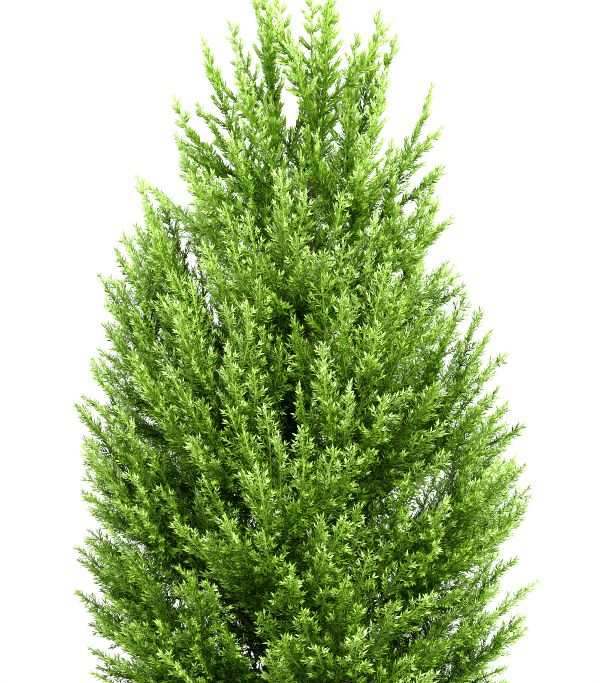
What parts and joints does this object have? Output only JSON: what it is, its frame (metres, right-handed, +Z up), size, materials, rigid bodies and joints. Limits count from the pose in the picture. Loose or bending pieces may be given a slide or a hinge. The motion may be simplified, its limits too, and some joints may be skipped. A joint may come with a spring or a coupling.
{
  "type": "false cypress",
  "caption": "Young false cypress tree: a flared trunk cut flat at ground level, rising boughs and a dense egg-shaped crown of upright feathery plumes.",
  "frame": {"origin": "centre of the trunk's flat cut at ground level", "axes": "+Z up along the trunk, -Y towards the side that the picture shows, +X to the right in that view"},
  "size_m": [0.275, 0.2799, 0.5452],
  "materials": {
    "bark": "matt, fibrous, brown",
    "foliage": "soft feathery needles, lime tips over dark green"
  },
  "bodies": {
    "root": {"trunk": "bark", "bough_middle_1": "bark", "bough_middle_2": "bark", "bough_middle_3": "bark", "bough_middle_4": "bark", "bough_middle_5": "bark", "bough_middle_6": "bark", "bough_wide_1": "bark", "bough_wide_2": "bark", "bough_wide_3": "bark", "bough_wide_4": "bark", "bough_wide_5": "bark", "bough_wide_6": "bark", "bough_low_1": "bark", "bough_low_2": "bark", "bough_low_3": "bark", "bough_low_4": "bark", "bough_low_5": "bark", "bough_low_6": "bark", "leader_plume_1": "foliage", "leader_plume_2": "foliage", "leader_plume_3": "foliage", "leader_plume_4": "foliage", "shoulder_plume_1": "foliage", "shoulder_plume_2": "foliage", "shoulder_plume_3": "foliage", "shoulder_plume_4": "foliage", "shoulder_plume_5": "foliage", "shoulder_plume_6": "foliage", "upper_plume_1": "foliage", "upper_plume_2": "foliage", "upper_plume_3": "foliage", "upper_plume_4": "foliage", "upper_plume_5": "foliage", "middle_plume_1": "foliage", "middle_plume_2": "foliage", "middle_plume_3": "foliage", "middle_plume_4": "foliage", "middle_plume_5": "foliage", "middle_plume_6": "foliage", "wide_plume_1": "foliage", "wide_plume_2": "foliage", "wide_plume_3": "foliage", "wide_plume_4": "foliage", "wide_plume_5": "foliage", "wide_plume_6": "foliage", "low_plume_1": "foliage", "low_plume_2": "foliage", "low_plume_3": "foliage", "low_plume_4": "foliage", "low_plume_5": "foliage", "low_plume_6": "foliage", "skirt_plume_1": "foliage", "skirt_plume_2": "foliage", "skirt_plume_3": "foliage", "skirt_plume_4": "foliage", "skirt_plume_5": "foliage"}
  },
  "joints": []
}
